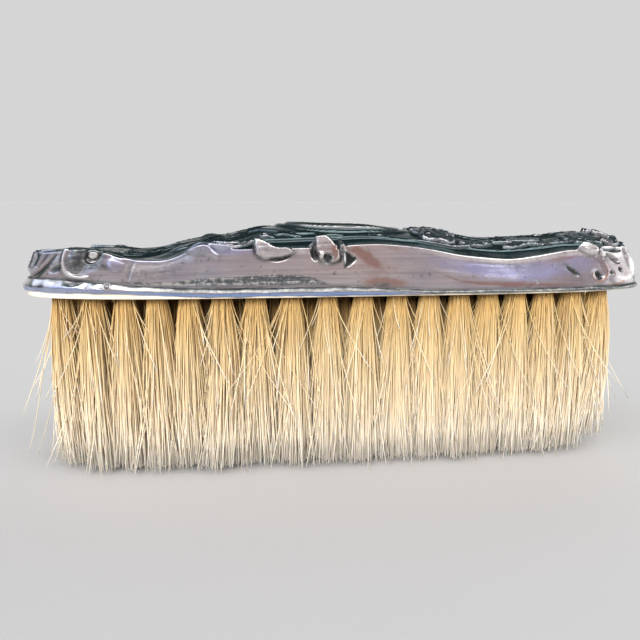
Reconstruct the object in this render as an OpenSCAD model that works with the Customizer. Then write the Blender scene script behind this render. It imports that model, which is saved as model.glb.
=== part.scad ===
// Silver-backed vanity brush without a handle: a stamped silver back over a bored board,
// with five rows of natural bristle drawn into the board on brass wire.
// The brush stands on its bristle tips: Z = 0 is the tip plane, +Z is the silver back, X runs along it.

/* [Brush] */
// Length over the silver rim
brush_l = 120; // [112:1:130]
// Width over the silver rim
brush_w = 32; // [31:0.5:36]
// How square the plan is: 2 is an ellipse and higher values are boxier
plan_power = 4; // [3.5:0.5:5]
// Length of bristle that shows below the board
bristle_l = 33; // [20:1:38]

/* [Silver back] */
// Thickness of the stamped silver
silver_t = 0.45; // [0.35:0.05:0.5]
// Radius of the rolled bead round the rim
bead_r = 1; // [0.8:0.1:1]
// Height of the rim over the bristle face, which is the thickness of the board's lip
board_reveal = 0.6; // [0.4:0.1:0.8]
// Height of the shoulder crease over the bristle face, where it is lowest
shoulder_h = 6.6; // [6.4:0.1:8]
// How much higher the shoulder stands near the middle
shoulder_swell = 2.8; // [0:0.1:4]
// How much higher the shoulder stands near each end
shoulder_end_lift = 1.5; // [0:0.1:2]
// Height of the crown over the bristle face, away from its swellings
crown_h = 8.5; // [8:0.1:9]
// How much higher the crown stands near the middle
crown_swell = 4.3; // [2:0.1:5]
// How much higher the crown stands near the right end
crown_end_lift = 2.2; // [0:0.1:3]

/* [Board] */
// How far the board's lip, which shows under the silver, stands in from the rim
lip_inset = 0.6; // [0.4:0.1:1]
// Thickness of the board with the step that fills the silver's foot
board_t = 3; // [2.6:0.1:3]
// Thickness of the board with its narrower upper step
block_t = 5.2; // [5.1:0.1:5.4]
// How far the upper step stands in from the rim
block_inset = 3.3; // [3.2:0.1:3.4]

/* [Bristle field] */
// Distance along the brush from the rim's ends to the first and last tufts of an evenly bored full row
field_margin = 7.6; // [7.2:0.1:9]
// How far the whole field stands off the middle, where minus is towards the left end
field_shift = -1.3; // [-1.4:0.1:0.5]
// How far the hand-bored ranks stray from even spacing along the brush
rank_drift = 0.9; // [0:0.1:1]
// Distance from the rim to the centres of the outer rows
field_inset = 4.8; // [4.7:0.1:5]
// Diameter of a tuft where it leaves the board
tuft_root_d = 3.5; // [3:0.1:3.6]
// Largest diameter of a tuft at its tips
tuft_spread_d = 5.4; // [4.4:0.1:6]
// Diameter of the brass drawing wire
wire_d = 0.4; // [0.3:0.05:0.45]

/* [Hidden] */
$fn = 48;

// Bristle field: 18 ranks, each with tufts in rows 1, 3 and 5, and half a pitch on in rows 2 and 4
RANKS = 18;
ROWS = 5;
field_l = brush_l - 2 * field_margin;
pitch = field_l / (RANKS - 1);
tuft_gap = 0.15;

// The stray from even spacing is a slow wave along the ranks: its length in ranks and its first trough
DRIFT_RANKS = 10.7;
DRIFT_TROUGH = 5.3;
spread_z = 0.55 * bristle_l;

// Sockets and the wire that holds each folded tuft, as heights over the bristle face
socket_depth = 2.7;
socket_gap = 0.03;
root_h = 2.6;
neck_r = 0.6;
neck_top = 4.05;
eye_r = 0.4;
eye_h = 3.35;
thread_r = 1.25;
channel_floor = 4.5;
channel_w = 0.8;
loop_r = 0.9;
loop_low = 3.25;
run_h = 4.85;
bend_d = 1.5 * wire_d;
bend_reach = 1.05 * wire_d / 2;
tail_l = 1;

// Silver back: heights over the bristle face and insets from the rim
face_z = bristle_l;
foot_h = board_reveal + 2.15 * bead_r;
foot_inset = 1.25 * bead_r;
shoulder_inset = 3.3;
foot_flare = 1.6;
cement_gap = 0.05;
lip_gap = 0.02;
board_inset = foot_inset + silver_t + cement_gap;
spine_inset = brush_w / 2 - 0.4;
RING_POINTS = 80;

// Pins through the rim: ranks that they stand beside, and their sizes
PIN_RANKS = [1.6, 14.4];
pin_h = board_reveal + 1.4 * bead_r;
pin_r = 0.4;
pin_l = 5;
pin_head_r = 0.8;
pin_head_t = 0.35;
pin_gap = 0.02;

// ---------- Plan ----------

// How far the unit outline reaches at an angle
function plan_reach(angle) =
    pow(pow(abs(cos(angle)), plan_power) + pow(abs(sin(angle)), plan_power), -1 / plan_power);

// Point number i of the outline, at a distance in from the rim
function plan_point(i, inset) =
    let (angle = 360 * i / RING_POINTS)
    plan_reach(angle) * [(brush_l / 2 - inset) * cos(angle), (brush_w / 2 - inset) * sin(angle)];

// Half of the outline's width at x, for the outline at a distance in from the rim
function half_w(x, inset) =
    (brush_w / 2 - inset) * pow(1 - pow(min(1, abs(x) / (brush_l / 2 - inset)), plan_power), 1 / plan_power);

module plan(inset)
    polygon([for (i = [0 : RING_POINTS - 1]) plan_point(i, inset)]);

// ---------- Silver back ----------

// A smooth swelling of height 1, centred on x0
function swelling(x, x0, reach) = exp(-pow((x - x0) / reach, 2));

function shoulder_at(x) =
    shoulder_h
    + shoulder_swell * swelling(x, -brush_l / 30, brush_l / 5)
    + shoulder_end_lift * (swelling(x, -brush_l * 0.42, brush_l / 12) + swelling(x, brush_l * 0.42, brush_l / 11));

function crown_at(x) =
    crown_h
    + x / brush_l
    + crown_swell * swelling(x, -brush_l / 40, brush_l / 6)
    + crown_end_lift * swelling(x, brush_l * 0.42, brush_l / 12);

// A level of the back is [inset, drop under the foot, share of the wall, share of the crown]
bead_levels = [
    for (turn = [0 : 40 : 160])
        [bead_r * (1 - sin(turn)), foot_h - board_reveal - bead_r * (1 - cos(turn)), 0, 0]
];
wall_levels = [
    for (share = [0, 0.3, 0.65, 0.9, 1])
        [foot_inset + (shoulder_inset - foot_inset) * pow(share, foot_flare), 0, share, 0]
];
// The cove above the shoulder, the border ridge and the domed crown
crown_levels = [
    [4.6, 0, 1, 0.12],
    [6.2, 0, 1, 0.52],
    [6.8, 0, 1, 0.56],
    [7.6, 0, 1, 0.5],
    [10, 0, 1, 0.82],
    [13, 0, 1, 0.96],
    [spine_inset, 0, 1, 1]
];

// The same level on a surface that lies t further in
function sunk(level, t) = [min(level[0] + t, spine_inset), level[1] + t * level[2], level[2], level[3]];

function level_point(level, i) =
    let (
        p = plan_point(i, level[0]),
        wall = level[2] * (shoulder_at(p[0]) - foot_h),
        crown = level[3] * (crown_at(p[0]) - shoulder_at(p[0]))
    )
    [p[0], p[1], face_z + foot_h - level[1] + wall + crown];

function level_ring(level) = [for (i = [0 : RING_POINTS - 1]) level_point(level, i)];

// A level ring at one height over the bristle face
function flat_ring(inset, h) =
    [for (i = [0 : RING_POINTS - 1]) let (p = plan_point(i, inset)) [p[0], p[1], face_z + h]];

// Triangles between neighbouring rings
function band_faces(rings) = [
    for (r = [0 : rings - 2], i = [0 : RING_POINTS - 1])
        let (
            a = r * RING_POINTS + i,
            b = r * RING_POINTS + (i + 1) % RING_POINTS,
            c = a + RING_POINTS,
            d = b + RING_POINTS
        )
        each [[a, b, d], [a, d, c]]
];

// Triangles that close a ring across the brush, between each point and the one opposite
function across_faces(first) = [
    for (i = [0 : RING_POINTS / 2 - 1])
        let (far = (RING_POINTS - i) % RING_POINTS, far_next = RING_POINTS - i - 1)
        each [
            if (i + 1 < far_next) [first + i, first + far_next, first + i + 1],
            if (i > 0) [first + i, first + far, first + far_next]
        ]
];

function turned(faces) = [for (f = faces) [f[2], f[1], f[0]]];

// A closed solid from rings that run from its top cap, down and under, to its last cap
module ringed_solid(rings)
    polyhedron(
        points = [for (ring = rings) each ring],
        faces = concat(
            band_faces(len(rings)),
            across_faces(0),
            turned(across_faces((len(rings) - 1) * RING_POINTS))
        )
    );

function backwards(list) = [for (i = [len(list) - 1 : -1 : 0]) list[i]];

module silver_back() {
    outer = concat(backwards(crown_levels), backwards(wall_levels), backwards(bead_levels));
    lip = [[foot_inset + silver_t, foot_h - board_reveal, 0, 0]];
    inner = [for (level = concat(wall_levels, crown_levels)) sunk(level, silver_t)];
    color("silver")
        difference() {
            ringed_solid([for (level = concat(outer, lip, inner)) level_ring(level)]);
            at_pins() pin_hole(pin_l);
        }
}

// Setting cement that fills the stamped back and holds it on the board
module cement_filling() {
    top = [
        for (level = concat(backwards(crown_levels), backwards(wall_levels)))
            if (level[2] > 0) sunk(level, silver_t + cement_gap)
    ];
    color("dimgray")
        ringed_solid(concat(
            [for (level = top) level_ring(level)],
            [
                flat_ring(board_inset + cement_gap, board_t + cement_gap),
                flat_ring(block_inset - cement_gap, board_t + cement_gap),
                flat_ring(block_inset - cement_gap, block_t + cement_gap)
            ]
        ));
}

// ---------- Pins ----------

// Places its children on the rim at each pin, with their +Z pointing out of the brush
module at_pins()
    for (rank = PIN_RANKS, side = [0, 1])
        let (
            x = rank_x(rank),
            step = 0.1,
            slope = (half_w(x + step, 0) - half_w(x - step, 0)) / (2 * step)
        )
        mirror([0, side, 0])
            translate([x, -half_w(x, 0), face_z + pin_h])
                rotate([0, 0, -atan(slope)])
                    rotate([90, 0, 0])
                        children();

module pin_hole(depth)
    translate([0, 0, -depth])
        cylinder(r = pin_r + pin_gap, h = depth + 1);

module rim_pins()
    color("silver")
        at_pins() {
            translate([0, 0, -pin_l])
                cylinder(r = pin_r, h = pin_l + pin_head_t);
            translate([0, 0, pin_gap])
                cylinder(r1 = pin_head_r, r2 = 0.6 * pin_head_r, h = pin_head_t);
        }

// ---------- Bristle field ----------

// Place of a rank along the brush
function rank_x(rank) =
    rank * pitch - field_l / 2 + field_shift
    - rank_drift * cos(360 * (rank - DRIFT_TROUGH) / DRIFT_RANKS);

// Rows 2 and 4 stand half a pitch along from rows 1, 3 and 5
function is_offset(row) = row % 2;
function row_tufts(row) = RANKS - is_offset(row);

function tuft_place(rank, row) =
    let (x = rank_x(rank + is_offset(row) / 2))
    [x, (2 * row / (ROWS - 1) - 1) * half_w(x, field_inset)];

// Tip diameter that keeps a tuft clear of its nearest neighbour
function tip_d(rank, row) =
    let (here = tuft_place(rank, row))
    min([
        tuft_spread_d,
        for (near_row = [max(0, row - 1) : min(ROWS - 1, row + 1)])
            for (near = [max(0, rank - 1) : min(row_tufts(near_row) - 1, rank + 1)])
                if (near_row != row || near != rank)
                    norm(tuft_place(near, near_row) - here) - tuft_gap
    ]);

// One folded tuft: packed root, neck with the eye that the wire passes through, and spread bristles
module tuft(spread_d) {
    difference() {
        union() {
            translate([0, 0, face_z])
                cylinder(d = tuft_root_d, h = root_h);
            translate([0, 0, face_z + root_h])
                cylinder(r = neck_r, h = neck_top - root_h);
        }
        translate([-neck_r - 1, 0, face_z + eye_h])
            rotate([0, 90, 0])
                cylinder(r = eye_r, h = 2 * neck_r + 2);
    }
    translate([0, 0, spread_z])
        cylinder(d1 = spread_d, d2 = tuft_root_d, h = face_z - spread_z);
    cylinder(d = spread_d, h = spread_z);
}

module tuft_rank(rank)
    color("burlywood")
        for (row = [0 : ROWS - 1])
            if (rank < row_tufts(row))
                translate(tuft_place(rank, row))
                    tuft(tip_d(rank, row));

module tuft_rank_01() tuft_rank(0);
module tuft_rank_02() tuft_rank(1);
module tuft_rank_03() tuft_rank(2);
module tuft_rank_04() tuft_rank(3);
module tuft_rank_05() tuft_rank(4);
module tuft_rank_06() tuft_rank(5);
module tuft_rank_07() tuft_rank(6);
module tuft_rank_08() tuft_rank(7);
module tuft_rank_09() tuft_rank(8);
module tuft_rank_10() tuft_rank(9);
module tuft_rank_11() tuft_rank(10);
module tuft_rank_12() tuft_rank(11);
module tuft_rank_13() tuft_rank(12);
module tuft_rank_14() tuft_rank(13);
module tuft_rank_15() tuft_rank(14);
module tuft_rank_16() tuft_rank(15);
module tuft_rank_17() tuft_rank(16);
module tuft_rank_18() tuft_rank(17);

// ---------- Drawing wires ----------

// Where the wire rises out of a tuft's hole: side is -1 or 1 along the brush
function leg_place(rank, row, side) = tuft_place(rank, row) + [side * loop_r, 0];

// The stretches of a row's wire along the back of the board: [start, end] between legs, and two tails
function wire_runs(row) =
    let (last = row_tufts(row) - 1)
    concat(
        [[leg_place(0, row, -1), leg_place(0, row, -1) - [tail_l, 0]]],
        [for (rank = [0 : last - 1]) [leg_place(rank, row, 1), leg_place(rank + 1, row, -1)]],
        [[leg_place(last, row, 1), leg_place(last, row, 1) + [tail_l, 0]]]
    );

// Puts its children at the start of a run, with their +X along the run
module along_run(run)
    let (way = run[1] - run[0])
    translate(run[0])
        rotate([0, 0, atan2(way[1], way[0])])
            children();

// The loop round one tuft's fold, with its two legs and the kinks where they turn along the board
module wire_loop() {
    translate([0, 0, face_z + loop_low + loop_r])
        rotate([90, 0, 0])
            rotate([0, 0, 180])
                rotate_extrude(angle = 180)
                    translate([loop_r, 0])
                        circle(d = wire_d);
    for (side = [-1, 1])
        translate([side * loop_r, 0, face_z]) {
            translate([0, 0, loop_low + loop_r])
                cylinder(d = wire_d, h = run_h - bend_reach - loop_low - loop_r);
            translate([0, 0, run_h])
                sphere(d = bend_d);
        }
}

// A straight stretch of wire between two kinks, or from a kink to the wire's end
module wire_run(run)
    along_run(run)
        translate([bend_reach, 0, face_z + run_h])
            rotate([0, 90, 0])
                cylinder(d = wire_d, h = norm(run[1] - run[0]) - 2 * bend_reach);

module drawing_wire(row)
    color("goldenrod") {
        for (rank = [0 : row_tufts(row) - 1])
            translate(tuft_place(rank, row))
                wire_loop();
        for (run = wire_runs(row))
            wire_run(run);
    }

module drawing_wire_1() drawing_wire(0);
module drawing_wire_2() drawing_wire(1);
module drawing_wire_3() drawing_wire(2);
module drawing_wire_4() drawing_wire(3);
module drawing_wire_5() drawing_wire(4);

// ---------- Board ----------

// The blind hole that one tuft sits in, and the small hole for its wire
module tuft_socket() {
    translate([0, 0, face_z - 1])
        cylinder(d = tuft_root_d + 2 * socket_gap, h = 1 + socket_depth);
    translate([0, 0, face_z])
        cylinder(r = thread_r, h = block_t + 1);
}

// The groove on the back of the board that one stretch of wire lies in
module wire_channel(run)
    along_run(run)
        translate([0, -channel_w / 2, face_z + channel_floor])
            cube([norm(run[1] - run[0]) + channel_w / 2, channel_w, block_t]);

module brush_board()
    color("ivory")
        difference() {
            union() {
                translate([0, 0, face_z])
                    linear_extrude(board_reveal - lip_gap)
                        plan(lip_inset);
                translate([0, 0, face_z])
                    linear_extrude(board_t)
                        plan(board_inset);
                translate([0, 0, face_z])
                    linear_extrude(block_t)
                        plan(block_inset);
            }
            for (row = [0 : ROWS - 1]) {
                for (rank = [0 : row_tufts(row) - 1])
                    translate(tuft_place(rank, row))
                        tuft_socket();
                for (run = wire_runs(row))
                    wire_channel(run);
            }
            at_pins() pin_hole(pin_l + 0.2);
        }

// ---------- Nodes ----------

silver_back();
cement_filling();
brush_board();
rim_pins();
drawing_wire_1();
drawing_wire_2();
drawing_wire_3();
drawing_wire_4();
drawing_wire_5();
tuft_rank_01();
tuft_rank_02();
tuft_rank_03();
tuft_rank_04();
tuft_rank_05();
tuft_rank_06();
tuft_rank_07();
tuft_rank_08();
tuft_rank_09();
tuft_rank_10();
tuft_rank_11();
tuft_rank_12();
tuft_rank_13();
tuft_rank_14();
tuft_rank_15();
tuft_rank_16();
tuft_rank_17();
tuft_rank_18();
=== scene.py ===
"""Looks for the silver-backed vanity brush.

The brush stands on its bristle tips: +X along it, +Z up to the silver back, and -Y towards the camera.
Lengths in this script are millimetres and are turned into metres as meshes are made.
"""

import math

import bpy
import numpy as np
from mathutils import Matrix, Vector, noise


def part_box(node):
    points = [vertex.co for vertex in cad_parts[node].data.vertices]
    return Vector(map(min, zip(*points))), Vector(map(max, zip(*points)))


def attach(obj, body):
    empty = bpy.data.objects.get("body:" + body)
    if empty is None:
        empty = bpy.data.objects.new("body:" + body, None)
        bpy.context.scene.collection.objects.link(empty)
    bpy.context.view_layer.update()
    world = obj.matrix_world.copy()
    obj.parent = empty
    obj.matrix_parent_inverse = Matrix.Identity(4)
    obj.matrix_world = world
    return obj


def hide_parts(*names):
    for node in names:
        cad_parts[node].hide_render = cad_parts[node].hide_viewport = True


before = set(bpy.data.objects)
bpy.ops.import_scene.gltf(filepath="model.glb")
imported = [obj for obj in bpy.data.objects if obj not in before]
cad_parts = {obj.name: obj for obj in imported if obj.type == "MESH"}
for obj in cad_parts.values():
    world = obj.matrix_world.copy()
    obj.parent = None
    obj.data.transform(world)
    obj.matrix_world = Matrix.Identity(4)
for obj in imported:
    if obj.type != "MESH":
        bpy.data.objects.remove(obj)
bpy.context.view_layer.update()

MM = 0.001
rng = np.random.default_rng(11)

# ---------- Sizes, from the frame where it has them ----------

_, back_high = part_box("silver_back")
board_low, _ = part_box("brush_board")
HALF_L = back_high.x / MM
HALF_W = back_high.y / MM
FACE_Z = board_low.z / MM
PLAN_POWER = 4

# Silver back. The foot of its wall is given as multiples of the bead's radius
SILVER_T = 0.45
RIM_H = 0.35
FOOT_RISE = 2.1
FOOT_IN = 1.3
SHOULDER_INSET = 3.3
RIDGE_OVER = 3.2
CROWN_REACH = HALF_W - 0.3 - SHOULDER_INSET
END_STEEPNESS = 0.75
# How steeply a leaf stands up past the shoulder, and how far it is drawn in there
FLAP_RISE = 2.1
FLAP_DRAWN_IN = 0.34

# Board
BOARD_INSET = 1.75
LIP_INSET = 0.55

# Bristle field, laid out as in the CAD model: rank_x gives a rank's place along the brush
RANKS = 18
ROWS = 5
FIELD_L = 104.8
FIELD_SHIFT = -1.3
FIELD_INSET = 4.8
PITCH = FIELD_L / (RANKS - 1)
RANK_DRIFT = 0.9
DRIFT_RANKS = 10.7
DRIFT_TROUGH = 5.3
SOCKET_R = 1.75

# Rim pins: their places, counted in ranks, heights over the bristle face, and sizes
PIN_RANKS = (1.6, 14.4)
PIN_HEIGHTS = (2.3, 2.2)
PIN_SIZES = (1.0, 0.6)

# Height of the shoulder crease over the bristle face, along the brush
SHOULDER = [(-60, 6.6), (-54, 7.7), (-49, 8.2), (-44.5, 8.0), (-40.5, 6.8), (-37, 6.5), (-33, 6.7),
            (-30, 7.8), (-27.3, 9.1), (-23.5, 8.6), (-15, 8.6), (-5, 8.8), (4.5, 9.3), (9, 9.0), (15, 8.2),
            (20, 7.2), (25, 6.6), (30, 6.3), (36, 6.9), (42, 7.8), (49, 7.6), (54.5, 7.2), (57, 8.4),
            (60, 8.8)]
# Height of the crown's centre line over the bristle face, under its relief
CROWN = [(-60, 6.6), (-54, 6.9), (-47, 7.0), (-41, 6.9), (-36, 7.2), (-32, 8.4), (-27, 9.2), (-21, 10.2),
         (-16, 11.5), (-8, 12.1), (0, 12.0), (5, 11.7), (10, 10.8), (15, 10.5), (21, 10.1), (26, 9.2),
         (34, 8.9), (41, 9.3), (49, 9.8), (55, 10.5), (60, 10.2)]


# ---------- Curves and plan ----------

def smooth_curve(points, x):
    """A smooth line through a few points, by cubic Hermite pieces with averaged slopes."""
    px = np.array([p[0] for p in points], float)
    py = np.array([p[1] for p in points], float)
    slopes = np.gradient(py, px)
    x = np.clip(x, px[0], px[-1])
    i = np.clip(np.searchsorted(px, x) - 1, 0, len(px) - 2)
    step = px[i + 1] - px[i]
    t = (x - px[i]) / step
    return ((2 * t ** 3 - 3 * t ** 2 + 1) * py[i] + (t ** 3 - 2 * t ** 2 + t) * step * slopes[i]
            + (3 * t ** 2 - 2 * t ** 3) * py[i + 1] + (t ** 3 - t ** 2) * step * slopes[i + 1])


def swelling(x, centre, reach):
    """A smooth bump that is 1 at its centre."""
    return np.exp(-((x - centre) / reach) ** 2)


def ease(x):
    """A smooth rise from 0 to 1 as x does, and level outside."""
    x = np.clip(x, 0, 1)
    return x * x * (3 - 2 * x)


def half_width(x, inset=0.0):
    """Half of the outline's width at x, for the outline at a distance in from the rim."""
    across = np.minimum(1, np.abs(x) / (HALF_L - inset))
    return (HALF_W - inset) * (1 - across ** PLAN_POWER) ** (1 / PLAN_POWER)


def plan_reach(angle):
    return (np.abs(np.cos(angle)) ** PLAN_POWER + np.abs(np.sin(angle)) ** PLAN_POWER) ** (-1 / PLAN_POWER)


def even_plan_angles(count):
    """Angles that step evenly along the rim, from the middle of the near side, and the rim's length."""
    fine = np.linspace(-math.pi / 2, 1.5 * math.pi, 24001)
    x = HALF_L * plan_reach(fine) * np.cos(fine)
    y = HALF_W * plan_reach(fine) * np.sin(fine)
    arc = np.concatenate([[0], np.cumsum(np.hypot(np.diff(x), np.diff(y)))])
    return np.interp(np.linspace(0, arc[-1], count, endpoint=False), arc, fine), arc[-1]


def plan_ring(angles, inset, height):
    """A level ring at a distance in from the rim, at a height over the bristle face."""
    x = plan_reach(angles) * (HALF_L - inset) * np.cos(angles)
    y = plan_reach(angles) * (HALF_W - inset) * np.sin(angles)
    return np.column_stack([x, y, FACE_Z + height + 0 * x])


def rim_lift(x):
    """How much more of the board shows under the rim near the left end."""
    return 0.64 * ease((-25 - x) / 21)


def bead_r(x):
    """Radius of the rolled bead: fuller near the left end, and pressed flat towards the right end."""
    return 0.30 + 0.42 * ease((18 - x) / 22) + 0.40 * swelling(x, -53, 11)


def ridge_over(x):
    """How far the border ridge stands in from the shoulder crease."""
    return RIDGE_OVER + 1.9 * swelling(x, 26, 13)


def shoulder_height(x, y):
    """Height of the shoulder crease over the bristle face. At the left end the far side is lower."""
    return smooth_curve(SHOULDER, x) - 1.1 * swelling(x, -50, 11) * ease((y + 5) / 10)


def foot_height(x):
    """Height of the groove above the bead over the bristle face."""
    return RIM_H + rim_lift(x) + FOOT_RISE * bead_r(x)


def rank_x(rank):
    """Place of a crosswise rank of tufts along the brush."""
    drift = RANK_DRIFT * np.cos(2 * math.pi * (rank - DRIFT_TROUGH) / DRIFT_RANKS)
    return rank * PITCH - FIELD_L / 2 + FIELD_SHIFT - drift


# ---------- Mesh helpers ----------

def add_object(name, data):
    made = bpy.data.objects.new(name, data)
    bpy.context.scene.collection.objects.link(made)
    return made


def mesh_piece(name, verts_mm, faces, node, material, smooth=True, attributes=None):
    """A piece from vertices in millimetres, riding on the brush in place of a CAD node."""
    mesh = bpy.data.meshes.new(name)
    mesh.from_pydata((np.asarray(verts_mm) * MM).tolist(), [], faces)
    mesh.validate()
    mesh.polygons.foreach_set("use_smooth", [smooth] * len(mesh.polygons))
    for key, values in (attributes or {}).items():
        mesh.attributes.new(key, "FLOAT", "POINT").data.foreach_set("value", np.asarray(values, np.float32))
    mesh.update()
    piece = add_object(name, mesh)
    mesh.materials.append(material)
    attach(piece, "root")
    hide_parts(node)
    return piece


def ring_faces(rings, count):
    """Quads between closed rings of the same number of vertices."""
    faces = []
    for r in range(rings - 1):
        a = r * count
        for i in range(count):
            j = (i + 1) % count
            faces.append((a + i, a + j, a + count + j, a + count + i))
    return faces


def across_faces(first, count):
    """Quads that close a ring across the brush: point i faces point count / 2 - i."""
    faces = []
    for i in range(-(count // 4), count // 4):
        near, near_next = i % count, (i + 1) % count
        far, far_next = (count // 2 - i) % count, (count // 2 - i - 1) % count
        quad = [first + k for k in (near, near_next, far_next, far)]
        faces.append(tuple(dict.fromkeys(quad)))
    return faces


def closed_faces(rings, count):
    """Quads of a shell whose rings run from the top down, closed across the brush at both ends."""
    faces = [f[::-1] for f in ring_faces(rings, count)]
    faces += across_faces(0, count)
    faces += [f[::-1] for f in across_faces((rings - 1) * count, count)]
    return faces


# ---------- Shader helpers ----------

def new_material(name):
    material = bpy.data.materials.new(name)
    material.use_nodes = True
    return material, material.node_tree, material.node_tree.nodes["Principled BSDF"]


def put(tree, node, inputs):
    """Set a node's inputs, by name or number, to values or to other nodes' outputs."""
    for key, value in inputs.items():
        socket = node.inputs[key]
        if isinstance(value, bpy.types.NodeSocket):
            tree.links.new(value, socket)
        elif socket.type == "RGBA":
            socket.default_value = (*value, 1)
        else:
            socket.default_value = value


def add(tree, kind, inputs=None, **settings):
    node = tree.nodes.new("ShaderNode" + kind)
    for key, value in settings.items():
        setattr(node, key, value)
    put(tree, node, inputs or {})
    return node


def attribute(tree, name):
    return add(tree, "Attribute", attribute_name=name).outputs["Fac"]


def object_place(tree, stretch=(1, 1, 1)):
    place = add(tree, "TexCoord").outputs["Object"]
    return add(tree, "Mapping", {"Vector": place, "Scale": stretch}).outputs["Vector"]


def noise_fac(tree, place, scale, detail=3.0, roughness=0.55):
    return add(tree, "TexNoise", {"Vector": place, "Scale": scale, "Detail": detail,
                                  "Roughness": roughness}).outputs["Fac"]


def maths(tree, operation, a, b=0.0, clamp=False):
    return add(tree, "Math", {0: a, 1: b}, operation=operation, use_clamp=clamp).outputs[0]


def times(tree, a, b, clamp=False):
    return maths(tree, "MULTIPLY", a, b, clamp)


def plus(tree, a, b):
    return maths(tree, "ADD", a, b)


def ramp(tree, fac, stops):
    """A colour ramp from (position, colour) stops, where a colour is a grey or an RGB triple."""
    node = add(tree, "ValToRGB", {"Fac": fac})
    elements = node.color_ramp.elements
    while len(elements) < len(stops):
        elements.new(0.5)
    for element, (position, colour) in zip(elements, stops):
        element.position = position
        rgb = (colour,) * 3 if isinstance(colour, (int, float)) else colour
        element.color = (*rgb, 1)
    return node.outputs["Color"]


def mix(tree, fac, a, b, blend="MIX"):
    return add(tree, "Mix", {0: fac, 6: a, 7: b}, data_type="RGBA", blend_type=blend).outputs[2]


def bump(tree, height, strength, distance):
    return add(tree, "Bump", {"Height": height, "Strength": strength, "Distance": distance}).outputs["Normal"]


# ---------- Materials ----------

def silver_material():
    """Worn polished silver: lilac grey, toned copper and blue in places, and tarnished in hollows. Painted
    shade darkens hollows, pits and the edges under the relief, painted highlights whiten edges and tops of
    the relief, the bead has a painted reflection of a blue sky, and the crown a painted dark reflection.
    """
    material, tree, shader = new_material("worn_silver")
    place = object_place(tree)
    ragged = times(tree, maths(tree, "SUBTRACT", noise_fac(tree, place, 700, 6, 0.65), 0.5), 0.9)

    def ragged_mask(name, low, high):
        return ramp(tree, plus(tree, attribute(tree, name), ragged), [(low, 0.0), (high, 1.0)])

    brushed = noise_fac(tree, object_place(tree, (50, 900, 1900)), 1.0, 4, 0.7)
    haze = ramp(tree, noise_fac(tree, place, 60, 4),
                [(0.36, (0.49, 0.44, 0.46)), (0.5, (0.61, 0.575, 0.58)), (0.66, (0.48, 0.48, 0.54))])
    streaks = ramp(tree, brushed, [(0.3, 0.8), (0.5, 1.0), (0.7, 1.1)])
    clouded = mix(tree, 1.0, haze, streaks, "MULTIPLY")
    warm_streaks = ramp(tree, brushed, [(0.3, (0.60, 0.50, 0.45)), (0.6, (0.80, 0.68, 0.61))])
    warm = mix(tree, times(tree, attribute(tree, "warm"), 0.6), clouded, warm_streaks)
    # Painted dark reflection: the crown is painted dark grey-green, as if it mirrored dark surroundings.
    crown = mix(tree, attribute(tree, "crown"), warm, (0.12, 0.17, 0.175))
    blue = mix(tree, times(tree, ragged_mask("blue", 0.2, 0.95), 0.8), crown, (0.56, 0.58, 0.86))
    # Painted reflection of a clear blue sky on the bead, where it leans so as to face one.
    sky_reflection_colour = ramp(tree, brushed, [(0.35, (0.17, 0.34, 0.80)), (0.62, (0.40, 0.54, 0.88))])
    sky = mix(tree, times(tree, attribute(tree, "sky"), 0.85), blue, sky_reflection_colour)
    copper = mix(tree, times(tree, ragged_mask("copper", 0.3, 0.85), 0.8), sky, (0.46, 0.27, 0.215))
    grain = times(tree, plus(tree, brushed, noise_fac(tree, place, 1300, 3, 0.7)), 0.5)
    # Dark grey where the silver is tarnished, and where shade is painted in pits, under the edges of the
    # relief and along the left shoulder.
    tarnish_and_shade_colour = ramp(tree, grain, [(0.38, (0.10, 0.12, 0.13)), (0.48, (0.21, 0.23, 0.235)),
                                 (0.56, (0.42, 0.43, 0.39)), (0.64, (0.78, 0.77, 0.68))])
    dusk = mix(tree, times(tree, ragged_mask("dusk", 0.2, 0.8), 0.92), copper, tarnish_and_shade_colour)
    scored = times(tree, attribute(tree, "hatched"), ramp(tree, grain, [(0.49, 0.0), (0.56, 0.85)]))
    hatched = mix(tree, scored, dusk, (0.86, 0.85, 0.78))
    # Painted highlights: nearly white on edges and tops of the relief and along the bead's upper edge on the
    # left.
    painted_highlight = mix(tree, ragged_mask("painted_highlight", 0.3, 0.9), hatched, (0.93, 0.90, 0.86))
    spots = ramp(tree, noise_fac(tree, place, 950, 2), [(0.64, 0.0), (0.71, 1.0)])
    spotted = mix(tree, times(tree, spots, 0.45), painted_highlight, (0.22, 0.19, 0.19))
    speck = noise_fac(tree, place, 420, 5, 0.7)
    # Very dark where the silver is tarnished in hollows, and painted shade there, in the groove above the
    # bead and in the ring round each pin head.
    tarnish_and_shade_amount = times(tree, attribute(tree, "tarnish_and_shade"), plus(tree, speck, 0.45), clamp=True)
    rough = ramp(tree, noise_fac(tree, place, 130, 5, 0.65), [(0.3, 0.12), (0.55, 0.20), (0.75, 0.33)])
    scratches = noise_fac(tree, object_place(tree, (60, 900, 1800)), 1.0, 2)
    height = plus(tree, times(tree, scratches, 0.6), noise_fac(tree, place, 1500, 3))
    put(tree, shader, {
        "Base Color": mix(tree, tarnish_and_shade_amount, spotted, (0.045, 0.045, 0.043)),
        "Metallic": 1.0,
        "Roughness": plus(tree, rough, times(tree, tarnish_and_shade_amount, 0.3)),
        "Normal": bump(tree, height, 0.3, 0.00007),
    })
    return material


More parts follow.
